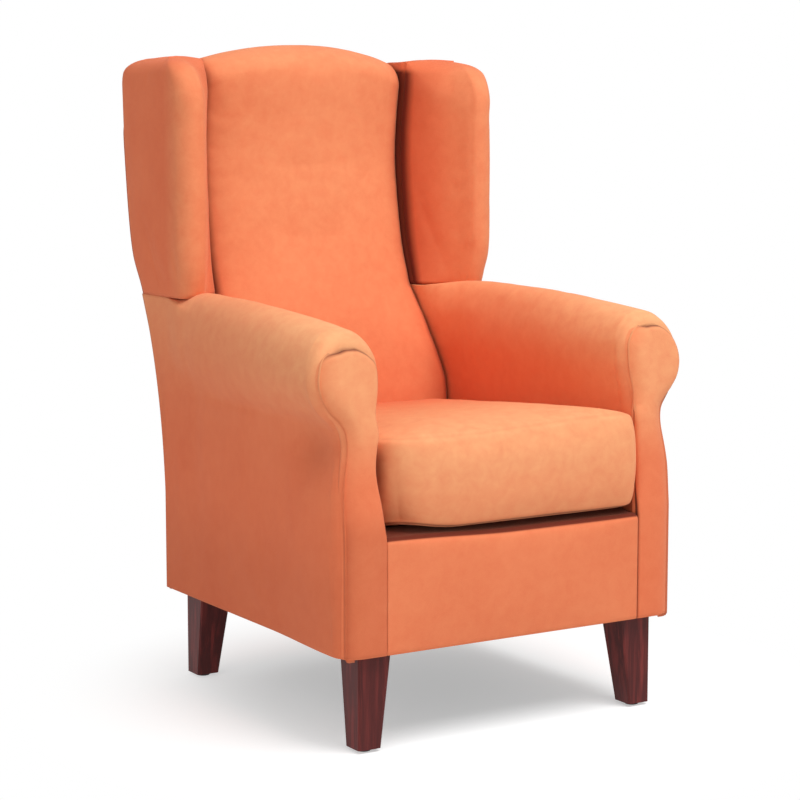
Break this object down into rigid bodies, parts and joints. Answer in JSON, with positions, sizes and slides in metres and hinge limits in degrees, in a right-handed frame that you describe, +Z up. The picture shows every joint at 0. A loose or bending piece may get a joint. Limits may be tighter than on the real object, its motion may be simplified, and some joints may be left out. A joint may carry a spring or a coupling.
{
  "type": "fireside chair",
  "caption": "High-backed wing armchair with scrolled arms, a raked padded back, wings, a loose seat cushion and tapered square timber legs.",
  "frame": {"origin": "on the floor, under the middle of the chair's bounding box", "axes": "+Z up, -Y the way the chair faces, +X towards the right-hand side as seen by someone facing the chair's front"},
  "size_m": [0.6914, 0.7692, 1.083],
  "materials": {
    "cover_fabric": "soft brushed terracotta upholstery cloth",
    "deck_fabric": "plain lining cloth over the seat deck",
    "foam": "cream seat foam",
    "webbing": "woven elastic webbing",
    "dust_cloth": "black non-woven cloth",
    "frame_timber": "planed unfinished hardwood",
    "leg_wood": "dark mahogany stain under satin lacquer",
    "spring_steel": "drawn spring wire",
    "fixings": "zinc plated",
    "glide_plastic": "matt black"
  },
  "bodies": {
    "chair": {"front_rail": "frame_timber", "rear_rail": "frame_timber", "side_rail_left": "frame_timber", "side_rail_right": "frame_timber", "corner_blocks": "frame_timber", "arm_post_left": "frame_timber", "arm_post_right": "frame_timber", "arm_rail_left": "frame_timber", "arm_rail_right": "frame_timber", "back_post_left": "frame_timber", "back_post_right": "frame_timber", "back_top_rail": "frame_timber", "back_lower_rail": "frame_timber", "wing_board_left": "frame_timber", "wing_board_right": "frame_timber", "seat_springs": "spring_steel", "spring_clips": "spring_steel", "back_webbing": "webbing", "front_edge_roll": "foam", "seat_deck_pad": "deck_fabric", "front_border": "cover_fabric", "bottom_dust_cover": "dust_cloth", "arm_pad_left": "cover_fabric", "arm_pad_right": "cover_fabric", "arm_facing_left": "cover_fabric", "arm_facing_right": "cover_fabric", "outside_arm_left": "cover_fabric", "outside_arm_right": "cover_fabric", "wing_pad_left": "cover_fabric", "wing_pad_right": "cover_fabric", "inside_back_pad": "cover_fabric", "outside_back_cover": "cover_fabric", "leg_front_left": "leg_wood", "leg_front_right": "leg_wood", "leg_rear_left": "leg_wood", "leg_rear_right": "leg_wood", "leg_mount_plates": "fixings", "leg_plate_screws": "fixings", "leg_hanger_bolts": "fixings", "leg_glides": "glide_plastic"},
    "seat_cushion": {"seat_cushion_cover": "cover_fabric", "seat_cushion_core": "foam"}
  },
  "joints": [
    {"name": "seat_cushion_draw_out", "type": "slide", "parent": "chair", "child": "seat_cushion", "axis": [0, -0.9962, 0.0872], "range_m": [0, 0.62]}
  ]
}
